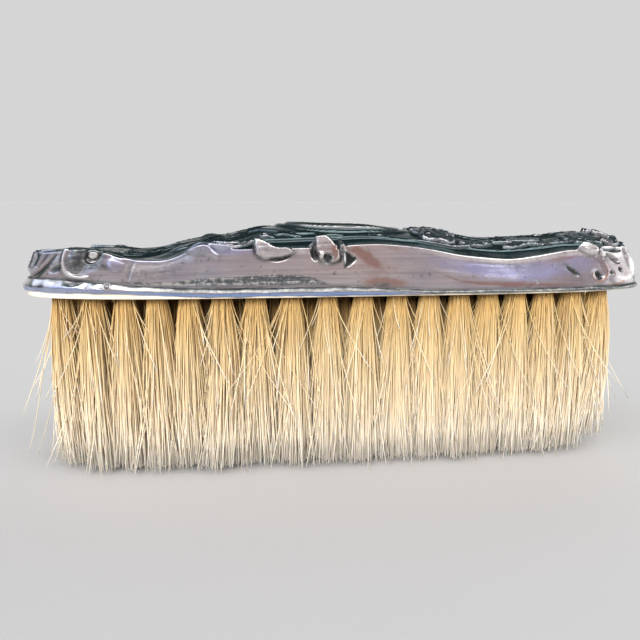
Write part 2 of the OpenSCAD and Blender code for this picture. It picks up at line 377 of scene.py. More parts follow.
def board_material():
    """Yellowed ivory-coloured board with faint grain and dirt against the silver."""
    material, tree, shader = new_material("ivory_board")
    grain = noise_fac(tree, object_place(tree, (40, 400, 900)), 1.0, 4)
    cream = ramp(tree, grain,
                 [(0.3, (0.66, 0.58, 0.46)), (0.55, (0.80, 0.74, 0.64)), (0.8, (0.86, 0.82, 0.75))])
    dirt = ramp(tree, noise_fac(tree, object_place(tree), 260, 5, 0.7), [(0.56, 0.0), (0.72, 1.0)])
    put(tree, shader, {
        "Base Color": mix(tree, times(tree, dirt, 0.6), cream, (0.30, 0.20, 0.11)),
        "Roughness": 0.38,
        "Normal": bump(tree, grain, 0.2, 0.0001),
    })
    return material


def bristle_material():
    """Natural bristle: golden at the root, paling to cream, and a little different from hair to hair. The
    brown at the root is partly painted shade, and roots inside the field are painted darker as shade.
    """
    material, tree, shader = new_material("natural_bristle")
    # Golden brown at the root, partly the bristle's colour and partly painted shade, paling to cream.
    pale = ramp(tree, attribute(tree, "along"),
                [(0.0, (0.58, 0.33, 0.11)), (0.12, (0.74, 0.49, 0.21)), (0.35, (0.88, 0.66, 0.37)),
                 (0.7, (0.99, 0.81, 0.57)), (1.0, (1.0, 0.91, 0.77))])
    # Painted shade: roots inside the field are painted dark brown.
    deep = attribute(tree, "deep")
    body = mix(tree, times(tree, deep, 0.9), pale, (0.12, 0.05, 0.010))
    shade = ramp(tree, attribute(tree, "tone"), [(0.0, 0.6), (0.35, 0.93), (0.7, 1.0)])
    toned = mix(tree, 1.0, body, shade, "MULTIPLY")
    streak = noise_fac(tree, object_place(tree, (900, 900, 60)), 1.0, 3)
    dusk = ramp(tree, streak, [(0.35, 0.88), (0.6, 1.0)])
    put(tree, shader, {
        "Base Color": mix(tree, 1.0, toned, dusk, "MULTIPLY"),
        "Roughness": plus(tree, times(tree, deep, 0.4), 0.42),
        "Specular IOR Level": 0.36,
        "Subsurface Weight": 0.35,
        "Subsurface Radius": (1.0, 0.65, 0.35),
        "Subsurface Scale": 0.0004,
    })
    return material


def grained_material(name, noise, colours, roughness, bumps, metallic=0.0):
    """A material whose colour and bumps follow one noise."""
    material, tree, shader = new_material(name)
    grain = noise_fac(tree, object_place(tree), *noise)
    put(tree, shader, {
        "Base Color": ramp(tree, grain, colours),
        "Metallic": metallic,
        "Roughness": roughness,
        "Normal": bump(tree, grain, *bumps),
    })
    return material


def wire_material():
    return grained_material("brass_wire", (500, 4), [(0.35, (0.35, 0.22, 0.08)), (0.65, (0.72, 0.52, 0.22))],
                            0.38, (0.2, 0.00005), metallic=1.0)


def cement_material():
    return grained_material("setting_cement", (700, 6, 0.7),
                            [(0.3, (0.02, 0.015, 0.012)), (0.7, (0.09, 0.06, 0.045))], 0.8, (0.6, 0.0002))


# ---------- Shapes of the relief, of the tones and of the painted light ---

def tilted(u, s, centre, angle):
    """Coordinates about a centre, turned so that the first runs along the angle in degrees."""
    c, w = math.cos(math.radians(angle)), math.sin(math.radians(angle))
    du, ds = u - centre[0], s - centre[1]
    return du * c + ds * w, ds * c - du * w


def dome(u, s, centre, radii, height, angle=0.0):
    a, b = tilted(u, s, centre, angle)
    q = np.clip((a / radii[0]) ** 2 + (b / radii[1]) ** 2, 0, 1)
    return height * (1 - q) ** 0.8 * ease((1 - q) * 4)


def ring(u, s, centre, radii, width, height, angle=0.0):
    a, b = tilted(u, s, centre, angle)
    q = np.sqrt((a / radii[0]) ** 2 + (b / radii[1]) ** 2)
    return height * np.exp(-((q - 1) * min(radii) / width) ** 2)


def petal(u, s, root, tip, width, height, dish=0.45):
    """A pointed petal or leaf: steep edge, dished face and a fine midrib."""
    du, ds = tip[0] - root[0], tip[1] - root[1]
    length = math.hypot(du, ds)
    a, b = tilted(u, s, root, math.degrees(math.atan2(ds, du)))
    t = np.clip(a / length, 0, 1)
    half = width / 2 * np.sin(np.pi * t ** 0.85) ** 0.75 + 1e-4
    c = np.abs(b) / half
    inside = (a > 0) & (a < length) & (c < 1)
    face = 1 - dish * (1 - np.clip(c, 0, 1) ** 2)
    rib = 0.22 * np.exp(-(b / 0.16) ** 2) * (1 - t)
    return np.where(inside, height * (ease((1 - c) * 2.3) * (face + rib)) * ease(5 * (1 - t)), 0)


def blade(u, s, upper, lower, height, dish=0.2):
    """A leaf between an upper and a lower edge, each a smooth line through (u, s) points.

    Past the crease the leaf stands up from the crown, so its upper edge is drawn in and it rises steeply.
    """
    top, bottom = smooth_curve(upper, u), smooth_curve(lower, u)
    top = np.where(top > 0, FLAP_DRAWN_IN * top, top)
    bottom = np.where(bottom > 0, FLAP_DRAWN_IN * bottom, bottom)
    inside = (u > upper[0][0]) & (u < upper[-1][0])
    deep = np.minimum((top - s) / 0.3, (s - bottom) / 0.6)
    across = (s - (top + bottom) / 2) / np.maximum((top - bottom) / 2, 0.2)
    ends = ease((u - upper[0][0]) / 0.35) * ease((upper[-1][0] - u) / 0.5)
    face = 1 - dish * np.clip(1 - across ** 2, 0, 1)
    standing = height + FLAP_RISE * height * np.clip(s, 0, 1.3)
    return np.where(inside, standing * ease(deep) * ends * face, 0)


def stem(u, s, points, width, height):
    """A rounded ridge along a smooth line through the points, tapering at both ends."""
    knots = np.arange(len(points))
    steps = np.linspace(0, len(points) - 1, 7 * len(points))
    line_u = smooth_curve(list(zip(knots, [p[0] for p in points])), steps)
    line_s = smooth_curve(list(zip(knots, [p[1] for p in points])), steps)
    out = np.zeros_like(u)
    reach = 3 * width
    near = ((u > line_u.min() - reach) & (u < line_u.max() + reach)
            & (s > line_s.min() - reach) & (s < line_s.max() + reach))
    pu, ps = u[near], s[near]
    best = np.zeros_like(pu)
    last = len(steps) - 2
    for k in range(last + 1):
        du, ds = line_u[k + 1] - line_u[k], line_s[k + 1] - line_s[k]
        t = np.clip(((pu - line_u[k]) * du + (ps - line_s[k]) * ds) / (du * du + ds * ds + 1e-9), 0, 1)
        away = np.hypot(pu - line_u[k] - t * du, ps - line_s[k] - t * ds)
        taper = math.sin(math.pi * (0.06 + 0.88 * (k + 0.5) / (last + 1))) ** 0.5
        best = np.maximum(best, taper * np.exp(-(away / (width * (0.5 + 0.5 * taper))) ** 2))
    out[near] = height * best
    return out


def patch(u, s, centre, radii, strength=1.0, angle=0.0):
    """A soft-edged patch, used for tones and for painted light."""
    a, b = tilted(u, s, centre, angle)
    return strength * np.exp(-(a / radii[0]) ** 2 - (b / radii[1]) ** 2)


def highest(u, s, shapes):
    """The highest of some shapes, each given as its function and that function's own arguments."""
    out = 0
    for shape, *sizes in shapes:
        out = np.maximum(out, shape(u, s, *sizes))
    return out


def total(u, s, shapes):
    return sum(shape(u, s, *sizes) for shape, *sizes in shapes)


def flower(u, s, centre, radius, petals, height, turn=0.0):
    """An open flower: a ring of broad petals, a second ring between them, and a domed centre."""
    shapes = [(dome, centre, (0.28 * radius, 0.28 * radius), 0.86 * height)]
    for layer, (reach, lift) in enumerate([(1.0, 0.75), (0.68, 1.0)]):
        for k in range(petals):
            angle = math.radians(turn) + 2 * math.pi * (k + 0.5 * layer) / petals
            tip = (centre[0] + radius * reach * math.cos(angle), centre[1] + radius * reach * math.sin(angle))
            shapes.append((petal, centre, tip, 1.1 * radius * reach, height * lift))
    return highest(u, s, shapes)


# ---------- Relief of the silver back ----------

# Lines of the relief by the shoulder, as (distance along the rim, distance past the shoulder)
LEAF_EDGE = [(-57.9, 2.2), (-60.2, 2.9), (-62.9, 1.8), (-63.8, -0.2), (-63.2, -1.8), (-61.4, -2.6),
             (-59.3, -2.3)]
LEAF_GROOVE = [(-55.4, -0.5), (-56.7, -1.9), (-58.2, -2.9), (-60.4, -3.6), (-63.8, -3.7)]
SHELL_EDGE = [(-48.4, 2.4), (-50.4, 2.6), (-52.2, 1.6), (-53.1, -0.3), (-52.8, -2.2), (-51.6, -3.8),
              (-49.9, -4.5), (-47.6, -4.6)]
BOSS_BROW = [(-49.6, 0.9), (-48.6, 1.7), (-47.4, 1.6), (-46.4, 0.7)]
FIRST_PETAL_EDGE = [(-19.0, 3.0), (-17.6, 2.5), (-15.8, 1.3), (-14.2, 0.2), (-12.2, 0.0), (-11.0, -0.6)]
FIRST_PETAL_FOOT = [(-19.0, 1.8), (-18.3, -0.6), (-17.3, -1.7), (-15.5, -2.0), (-12.2, -1.5), (-11.0, -0.9)]
SECOND_PETAL_EDGE = [(-8.7, 2.5), (-6.8, 2.7), (-4.6, 2.3), (-3.3, 0.4), (-2.4, -1.6)]
SECOND_PETAL_FOOT = [(-8.7, 2.1), (-7.4, 0.9), (-6.8, -0.7), (-5.9, -2.3), (-4.4, -3.0), (-2.4, -2.7)]
FAN_EDGE = [(-2.0, -0.5), (-0.6, -1.4), (1.0, -2.5)]
FAN_FOOT = [(-2.0, -4.3), (-1.0, -4.0), (1.0, -2.6)]
FIRST_PETAL_SHADE = [(-15.4, -1.9), (-14.0, -1.9), (-12.0, -1.5)]
RIGHT_PETAL_EDGE = [(45.8, 0.2), (46.8, 2.0), (48.4, 2.8), (50.0, 2.0), (51.2, 0.2)]
RIGHT_PETAL_FOOT = [(45.8, 0.0), (47.0, -0.6), (48.8, -0.9), (50.2, -0.8), (51.2, -0.1)]
ARCH = [(51.6, 0.7), (54.4, 1.7), (57.4, 2.0), (59.0, 0.6), (59.2, -1.4)]
CURL = [(49.6, -1.4), (50.8, -2.4), (50.9, -3.8), (49.8, -5.2), (47.9, -5.8), (46.8, -5.0), (47.6, -3.9)]

# Shapes by the shoulder, placed in the same way: first those that stand out
RAISED = [
    # Leaf with a rolled edge
    (dome, (-61.3, 0), (3.6, 3.1), 0.45),
    (stem, LEAF_EDGE, 0.42, 0.75),
    (petal, (-63.4, 2.2), (-67.6, -2.6), 3.4, 0.5, 0.6),
    # Shell
    (stem, SHELL_EDGE, 0.42, 0.62),
    (dome, (-51.2, -1), (2.4, 3.8), 0.3),
    (stem, BOSS_BROW, 0.32, 0.45),
    (stem, [(-46, 0.9), (-43.6, 0.6), (-41.2, 0.2)], 0.5, 0.3),
    (dome, (-43.4, -1.2), (1.5, 1.5), 0.22),
    # First petal, broad and steep at its left end, with a rolled upper edge
    (blade, FIRST_PETAL_EDGE, FIRST_PETAL_FOOT, 0.95),
    # Second petal, with a spur and a rolled left edge
    (blade, SECOND_PETAL_EDGE, SECOND_PETAL_FOOT, 1.05),
    (stem, [(-8.2, 0.9), (-7.2, 0.3), (-6.7, -0.6), (-6, -1.9), (-4.9, -2.8)], 0.32, 1.1),
    # Pointed leaf
    (petal, (-2.2, 3), (-1.5, -4.5), 1.3, 0.55, 0.3),
    # Small leaf and strands
    (petal, (-31.6, 0.9), (-24.6, -1.8), 2.1, 0.4),
    (stem, [(-31.4, 2), (-28.2, 0.9), (-24.8, 0.1), (-22, 1.2), (-19.8, 3.4), (-18.4, 5.4)], 0.36, 0.75),
    (stem, [(-30.4, 3), (-27.2, 2), (-24.2, 1.3), (-21.8, 2.6), (-19.8, 5)], 0.30, 0.75),
    (stem, [(-29.6, 4.2), (-26.4, 3.2), (-23.6, 2.8), (-21.6, 4.4)], 0.28, 0.75),
    # Petal and bud on the shoulder
    (blade, RIGHT_PETAL_EDGE, RIGHT_PETAL_FOOT, 0.8),
    (stem, [(52.9, 2.4), (51.9, 1), (51.2, -0.7)], 0.42, 0.7),
    # Arch over the lobe
    (stem, ARCH, 0.5, 0.8),
    # Lobe
    (dome, (53.4, -3.4), (3.6, 3), 0.3),
    (stem, CURL, 0.34, 0.3),
    (dome, (60, -3.6), (2.4, 3.6), 0.5),
    (petal, (63.6, 1.4), (68.2, -3.6), 3.4, 0.5, 0.6),
]
# Then those pressed in, which add up. A negative one stands up again
SUNK = [
    # Leaf and its groove
    (dome, (-60.8, 0.9), (2.6, 1), 0.7, 6),
    (dome, (-61.2, -0.9), (1.5, 0.8), 0.3),
    (stem, LEAF_GROOVE, 0.5, 0.35),
    (dome, (-54.3, -2.8), (1.2, 0.75), 0.35, 15),
    # Shell, with a boss standing in its pit
    (dome, (-48.6, -1.2), (3, 2.7), 0.12),
    (dome, (-48, -0.5), (1.75, 1.7), 1.2),
    (dome, (-48, -0.4), (1.2, 1.1), -1.15),
    # Petals and fan
    (stem, FIRST_PETAL_SHADE, 0.3, 0.3),
    (dome, (-7.3, -0.8), (0.8, 1.8), 0.5, 10),
    (dome, (-4.9, -2), (1, 0.9), 0.8),
    (dome, (-6, -1.7), (0.5, 0.6), -0.4),
    (blade, FAN_EDGE, FAN_FOOT, 0.24, 0),
    # Lobe
    (dome, (53.9, -1.1), (1.6, 0.9), 0.7, -25),
    (dome, (54.5, -3.2), (0.6, 0.6), 0.4),
    (dome, (51.8, -4), (0.5, 0.45), 0.35),
    (dome, (48.6, -4.5), (0.9, 0.85), 0.5),
    (dome, (43, -3.7), (1.9, 0.6), 0.4, -42),
]
# Flowers, leaves and stems on the crown, placed by x and y, with y negative on both sides
CROWN_SHAPES = [
    # Blank cartouche in the middle
    (ring, (0, 0), (11, 5.6), 0.42, 0.75),
    (ring, (0, 0), (13, 7.2), 0.30, 0.45),
    # Flowers
    (flower, (17.6, -3.8), 5, 5, 1.7, 20),
    (flower, (-21.5, -2.6), 3.4, 5, 0.6, 50),
    (flower, (48.2, -3.6), 5, 6, 1.2, 10),
    (flower, (-45.6, -3.2), 4.6, 6, 0.5, 40),
    # Leaves
    (petal, (22, -6.4), (29.6, -5), 2.4, 0.8),
    (petal, (22, -1.4), (32, -1.4), 3.4, 0.7),
    (petal, (30.6, -6.8), (37.6, -5.4), 2.4, 0.85),
    (petal, (33, -2.6), (40.8, -4.2), 3, 0.9),
    (petal, (38, -7.4), (43.8, -5.6), 2.4, 0.9),
    (petal, (51.4, -5.8), (56.6, -4.6), 3, 1.5),
    (petal, (51.6, -1.8), (58.6, -1.6), 4.4, 2),
    (dome, (56.2, -2.9), (2.6, 3), 1.7),
    (petal, (-26, -2), (-34.5, -1.6), 3.2, 0.6),
    (petal, (-27, -6.8), (-33.5, -7.6), 2.6, 0.6),
    (petal, (-41.6, -1.2), (-36, -3), 2.6, 0.55),
    (petal, (-34.8, -5.8), (-41.6, -6.4), 2.8, 0.5),
    (petal, (-50, -5.6), (-55.4, -3.4), 3, 0.6),
    (petal, (-51, -1.6), (-56.6, -1), 3, 0.6),
    # Scrolls by the cartouche
    (ring, (-15.7, -8.1), (0.62, 0.58), 0.3, 0.8),
    (ring, (-11.3, -9), (3.7, 1.15), 0.26, 0.4, -20),
    (ring, (-1.2, -10), (3.7, 1.15), 0.26, 0.4, -14),
    (dome, (5.7, -9.2), (1.6, 0.85), 0.9),
    (ring, (5.7, -9.2), (2.2, 1.3), 0.22, 0.4),
    (dome, (27.4, -5.2), (2.1, 0.9), 0.8),
    # Stems
    (stem, [(-54, -1), (-42, -7.4), (-32, -4.6), (-25, -6.6), (-17, -5.2)], 0.38, 0.55),
    (stem, [(8, -8.6), (20, -8.2), (31, -4.4), (41, -7.2), (53, -2.4)], 0.38, 0.7),
    (stem, [(-28, -1), (-23, -3), (-17.6, -3.8), (-12, -7), (-6, -7.6)], 0.36, 0.6),
    (stem, [(14.5, -1.6), (24, -0.8), (32, -3), (44, -1)], 0.34, 0.5),
]
# Where the crown is stippled beside the scrolls
STIPPLED = [
    (dome, (-11.3, -9), (3.8, 1.2), 1, -20),
    (dome, (-1.2, -10), (3.8, 1.2), 1, -14),
    (dome, (34, -6.2), (7.5, 1.2), 1),
]


def side_relief(u, s):
    """Relief near the shoulder: u runs along the rim from the middle, and s is 0 on the crease."""
    crease = 0.16 * swelling(s, 0, 0.34)
    # A soft fold down the wall, and a shallow panel drawn in below the crease
    fold = 0.11 * swelling(u, -40.5, 0.2) * ease(-s / 0.6) * ease((s + 3.9) / 0.8)
    panel = 0.10 * ease((-s - 0.5) / 0.5) * ease((s + 4) / 1.5) * swelling(u, 22, 15)
    return crease + (highest(u, s, RAISED) - total(u, s, SUNK) - fold) - panel


# ---------- Tones, painted highlights, painted shade and painted reflections of the silver ---

# Where the silver has toned to copper red
COPPER = [
    (patch, (2.6, -2.4), (4.2, 1.1), 1.2, -38),
    (patch, (0.6, -0.9), (1.8, 0.5), 1.1),
    (patch, (-3.6, -1.3), (0.65, 1.4), 1.2, 8),
    (patch, (5.6, -6.7), (4.6, 0.9), 1.2),
    (patch, (9, -0.8), (5, 0.5), 0.6, -8),
    (patch, (4, -4.2), (7, 2.4), 0.45),
    (stem, [(14, -3.6), (20, -4.6), (27.7, -4.6), (34, -4.9), (41.5, -6.1), (47, -6)], 0.32, 1),
    (patch, (29.5, -4.5), (5, 0.55), 1.1),
    (patch, (42, -1.3), (4.8, 0.6), 0.7, 2),
    (patch, (49.3, 0.2), (0.9, 0.6)),
    (patch, (53.9, -1.3), (1.3, 0.6), 1, -30),
    (stem, CURL, 0.34, 1.1),
    (stem, [(54.2, -1.6), (55.9, -3.2), (55.7, -4.8), (52.8, -5.8), (49, -6.4)], 0.3, 1),
    (stem, LEAF_GROOVE, 0.55, 0.9),
    (patch, (-59.4, 1.6), (2.2, 0.4), 0.7),
    (patch, (-61, -4.5), (4.5, 0.9), 1.3),
]
# Where it is lilac blue
BLUE = [
    (patch, (28, -2), (12, 1.6), 1.2),
    (patch, (36, -3), (7, 1.6), 1.2),
    (patch, (45, -2.4), (4, 2), 0.8),
    (patch, (-44, -1.2), (2.5, 1.4), 0.7),
    (patch, (-38, 0.1), (6, 0.6), 0.8),
    (patch, (-23, -0.4), (6, 0.8), 0.8),
]
# Where it is dark grey: tarnished in places, and painted shade in pits, under the edges of the relief and
# along the left shoulder's crease
SHADE_AND_TARNISH = [
    # Left end
    (patch, (-60.8, 1), (2.4, 0.7), 1, 6),
    (patch, (-61, -0.9), (1.6, 0.9), 0.55),
    (stem, LEAF_GROOVE, 0.6, 0.6),
    (patch, (-54.3, -2.8), (1.1, 0.7), 1.2, 15),
    (patch, (-50.2, -1.6), (2.1, 2.3), 1.5),
    (patch, (-37, -2.2), (8, 1.3), 0.5),
    (patch, (-49.6, -3), (2.2, 0.9), 0.7, -20),
    (patch, (-48, -0.6), (2.1, 2.1), 2.2),
    (patch, (-47.2, -2.3), (1.5, 0.9), 1.1, 20),
    (patch, (-45.6, -2.4), (1.5, 0.9), 0.8),
    (stem, [(-46.4, 0.2), (-41, 0.2), (-36, 0.2), (-30.4, 0.2)], 0.5, 0.6),
    # Middle
    (patch, (-18.6, 0.6), (0.4, 1.2), 0.9, 12),
    (stem, FIRST_PETAL_SHADE, 0.34, 1.1),
    (patch, (-16.4, -0.5), (0.6, 0.3), 0.8, -20),
    (patch, (-7.5, -0.6), (0.6, 1.7), 1.6, 12),
    (patch, (-4.9, -2.2), (0.9, 0.8), 1.8),
    (stem, [(-2.7, 3), (-2.3, 0.6), (-2.1, -1.6), (-1.8, -3.2)], 0.38, 1.1),
    (blade, FAN_EDGE, FAN_FOOT, 1.5, 0),
    # Right
    (patch, (5.4, -7.2), (2, 0.4), 0.9),
    (patch, (14.2, -4.6), (0.35, 0.3), 0.9),
    (patch, (12.6, -5), (0.3, 0.3), 0.8),
    (patch, (-3.6, -4.6), (0.5, 0.4), 0.9),
    (patch, (43, -3.7), (1.7, 0.5), 1.5, -42),
    (patch, (48.6, -4.5), (0.7, 0.65), 1.5),
    (patch, (30, -1.3), (9, 1), 0.5),
    (patch, (53.7, -1.1), (1.2, 0.5), 0.9, -25),
    (patch, (51.8, -4), (0.4, 0.4), 1.3),
    (patch, (54.5, -3.2), (0.5, 0.5), 1.4),
    (patch, (47.5, -1.2), (2, 0.35), 0.8),
]
# Painted highlights, where it is painted nearly white
PAINTED_HIGHLIGHTS = [
    # Left end
    (stem, LEAF_EDGE, 0.26, 1.1),
    (stem, SHELL_EDGE, 0.28, 1.2),
    (patch, (-48, -0.4), (0.85, 0.75), 1.9),
    (stem, BOSS_BROW, 0.24, 1.1),
    # Middle
    (patch, (-9.6, -0.5), (2, 0.8), 0.75),
    (patch, (-22, -0.8), (5, 0.8), 0.35),
    (patch, (-30.5, -0.9), (2.6, 0.8), 0.4, -15),
    (patch, (10, -0.9), (6, 0.8), 0.4),
    (stem, FIRST_PETAL_EDGE, 0.3, 1.3),
    (blade, FIRST_PETAL_EDGE, FIRST_PETAL_FOOT, 0.5, 0),
    (patch, (-5.6, 0.6), (1.9, 1.2), 0.8, -15),
    (patch, (-6, -1.7), (0.4, 0.5), 1.2),
    (stem, [(-1.8, -0.4), (-1.7, -1.8), (-1.4, -3.8)], 0.16, 1.1),
    (stem, [(-1.3, -0.1), (1, 0.2), (3.6, 0.4)], 0.3, 1),
    # Right
    (stem, [(15, 0.2), (24, 0.2), (31, 0.2), (38, 0), (45, 0.2)], 0.7, 1.3),
    (blade, RIGHT_PETAL_EDGE, RIGHT_PETAL_FOOT, 0.9),
    (patch, (52, 1.2), (0.5, 1.1), 1.1),
    (stem, ARCH, 0.42, 1.2),
    (patch, (59, -3.8), (1.8, 1.6), 1.2),
    (patch, (57, -5.4), (4.5, 0.5), 1.1, -12),
    (patch, (61.8, -6.4), (1.8, 1.6)),
]


def low_tarnish(u, share):
    """The dark band low on the left half of the wall, from its share of the wall's height."""
    top = smooth_curve([(-46, 0.08), (-38, 0.16), (-30, 0.24), (-22, 0.30), (-14, 0.35), (-8, 0.27),
                        (-4, 0.08), (0, 0.0)], u)
    return ease((top - share) / 0.05) * ease((share - 0.01) / 0.1) * ease((u + 46) / 8)


# ---------- Silver back ----------

def bead_profile():
    """Insets and heights up the rolled bead, in bead radii: flat at its side and along its upper edge."""
    lean = np.radians(np.linspace(-80, 60, 26))
    step = 1 + 1.2 * swelling(lean, 0.0, 0.2) + 7.0 * swelling(lean, 0.76, 0.17)
    inward = np.cumsum(step * np.sin(lean))
    rise = np.cumsum(step * np.cos(lean))
    size = np.ptp(rise) / 2
    return (inward - inward.min()) / size, (rise - rise[0]) / size, lean


def wall_levels(share, gap=0.0):
    lean = share ** 1.25
    return np.column_stack([SHOULDER_INSET * lean + gap, FOOT_IN * (1 - lean), FOOT_RISE + 0 * share, share,
                            0 * share])


def crown_levels(over):
    return np.column_stack([SHOULDER_INSET + over, 0 * over, FOOT_RISE + 0 * over, 1 + 0 * over, over])


def back_levels():
    """Levels of the outside, from the rim up, and how many of them are on the bead and on the wall.

    A level is [inset, inset and height as multiples of the bead's radius, share of the wall, distance past
    the shoulder].
    """
    inward, rise, _ = bead_profile()
    bead = np.column_stack([0 * rise, inward, rise, 0 * rise, 0 * rise])
    wall = wall_levels(np.concatenate([np.linspace(0, 0.86, 22), np.linspace(0.885, 1, 7)]))
    crown = crown_levels(np.concatenate([np.linspace(0.12, 1.0, 8), np.linspace(1.16, 4.2, 20),
                                         np.linspace(4.45, CROWN_REACH, 32)]))
    return np.vstack([bead, wall, crown]), len(bead), len(wall)


def crown_share(over, x):
    """Share of the crown's rise at a distance past the shoulder: a hollow cove, then the domed crown."""
    reach = ridge_over(x)
    rest = np.clip((over - reach) / (CROWN_REACH - reach), 0, 1)
    return 0.36 * (np.minimum(over, reach) / reach) ** 2.2 + 0.64 * (1 - (1 - rest) ** 2.4)


def level_points(levels, angles, sink=0.0):
    """Vertices of level rings, as an array of rings by angles by xyz. The ends are steeper than the sides."""
    inset, bead_in, bead_up, wall, over = (levels[:, k:k + 1] for k in range(5))
    cos, sin = plan_reach(angles) * np.cos(angles), plan_reach(angles) * np.sin(angles)
    away = inset + bead_in * bead_r(cos * (HALF_L - inset))
    end_share = 1 - (1 - END_STEEPNESS) * ease(away / 1.5)
    x = cos * (HALF_L - away * end_share)
    y = sin * (HALF_W - away)
    foot = foot_height(x)
    shoulder = shoulder_height(x, y)
    rise = smooth_curve(CROWN, x)
    z = (FACE_Z + RIM_H + rim_lift(x) + bead_up * bead_r(x) - sink * wall
         + wall * (shoulder - foot) + crown_share(over, x) * (rise - shoulder))
    return np.stack([x, y, z], axis=2)


def round_over(points, row, reach, passes):
    """Soften the bend at one ring of the surface by averaging the rings around it."""
    low, high = row - reach, row + reach
    for _ in range(passes):
        points[low:high] = (points[low - 1:high - 1] + 2 * points[low:high] + points[low + 1:high + 1]) / 4
    return points


def grid_normals(points):
    """Outward unit normals of a surface given as rings of points."""
    along = np.roll(points, -1, axis=1) - np.roll(points, 1, axis=1)
    up = np.gradient(points, axis=0)
    normal = np.cross(along, up)
    return normal / np.maximum(np.linalg.norm(normal, axis=2, keepdims=True), 1e-9)


def blurred(field, passes):
    """A field over the surface, averaged with its neighbours a number of times."""
    for _ in range(passes):
        field = (field + np.roll(field, 1, 1) + np.roll(field, -1, 1)
                 + np.vstack([field[1:], field[-1:]]) + np.vstack([field[:1], field[:-1]])) / 5
    return field


def noise_field(points, scale, seed):
    offset = Vector((seed * 13.7, seed * 5.1, seed * 9.3))
    flat = points.reshape(-1, 3) * scale
    return np.array([noise.noise(Vector(p) + offset) for p in flat]).reshape(points.shape[:2])


# Small round dents in the rim, as (x, height over the bristle face, radius, depth)
RIM_DENTS = [(-47.1, 2.7, 0.55, 0.35), (-44.6, 2.5, 0.5, 0.3), (-49.8, 3.2, 0.7, 0.35)]


def dents(points, places):
    """How deep the surface is dented, the same on both sides."""
    out = np.zeros(points.shape[:2])
    for x, height, radius, depth in places:
        centre = np.array([x, half_width(x), FACE_Z + height])
        away = np.stack([points[:, :, 0], np.abs(points[:, :, 1]), points[:, :, 2]], axis=2) - centre
        out += depth * np.exp(-(np.linalg.norm(away, axis=2) / radius) ** 2)
    return out


def along_rim(rim_l, count):
    """Distance along the rim from the middle of the nearer long side, for each point of a ring."""
    u = np.linspace(0, rim_l, count, endpoint=False)
    u = np.where(u > rim_l / 2, u - rim_l, u)
    return np.where(np.abs(u) > rim_l / 4, np.sign(u) * (rim_l / 2 - np.abs(u)), u)


def silver_tones_and_painted_light(x, u, s, wall_h, on_bead, by_side, relief, tarnish_and_shade):
    """Strength of each tone, painted highlight, painted shade and painted reflection over the outside of the
    silver, for its material.
    """
    on_side = np.where(on_bead, 0, ease((3.8 - s) / 0.8))
    low = low_tarnish(u, 1 + s / wall_h)
    # How far the bead leans in, which is past its whole range above it
    _, _, lean = bead_profile()
    lean = np.pad(lean, (0, len(x) - len(lean)), constant_values=2.0)[:, None] * np.ones_like(x)
    upper_edge = swelling(lean, 0.76, 0.3)
    # The bead's upper edge: painted shade over most of its length, and a painted highlight that is strongest
    # at the left end.
    shaded_edge = upper_edge * ease((x + 42) / 10)
    edge_highlight = (0.42 + 0.6 * ease((-30 - x) / 10)) * upper_edge * ease((16 - x) / 14)
    # Painted highlight just below the shoulder's crease on the right half.
    shine = 0.8 * swelling(s, -0.4, 0.75) * ease((u - 6) / 14) * on_side
    painted_highlight = np.maximum(np.maximum(highest(u, s, PAINTED_HIGHLIGHTS) * on_side, shine), edge_highlight)
    dusk = highest(u, s, SHADE_AND_TARNISH) * on_side
    # Where the painted shade is deepest it is turned very dark.
    deepest_shade = np.clip(1.5 * dusk - 1.4, 0, 0.9) * (1 - np.clip(painted_highlight, 0, 1))
    # A painted reflection of the sky on the bead, reaching higher at three places near the left end.
    sky_peaks = 0.9 * swelling(x, -49.4, 1.9) + 0.4 * swelling(x, -52.6, 1.4) + 0.5 * swelling(x, -44.8, 0.6)
    sky = ease((0.26 + sky_peaks - lean) / 0.2) * ease((16 - x) / 12) * (1 - 0.5 * ease((-34 - x) / 10))
    on_crown = ease((s - 0.35) / 0.7) * (1 - ease((by_side - 0.15) / 0.35))
    return {
        "tarnish_and_shade": np.clip(tarnish_and_shade + 0.42 * shaded_edge + deepest_shade, 0, 1),
        "copper": highest(u, s, COPPER) * on_side,
        "blue": highest(u, s, BLUE) * on_side,
        # On the bead: darker towards the right end, and painted shade along its upper edge.
        "dusk": np.maximum(dusk, np.where(on_bead, 0.9 * np.maximum(shaded_edge, ease((x - 6) / 12)), low)),
        "hatched": np.where(on_bead, 0, low),
        "painted_highlight": painted_highlight,
        "sky": np.where(on_bead, sky, 0),
        # Painted dark reflection over the crown, left off the raised relief.
        "crown": on_crown * (1 - 0.75 * ease((relief - 0.25) / 0.45)),
        "warm": np.where(on_bead, 0, swelling(u, 0, 13)),
    }


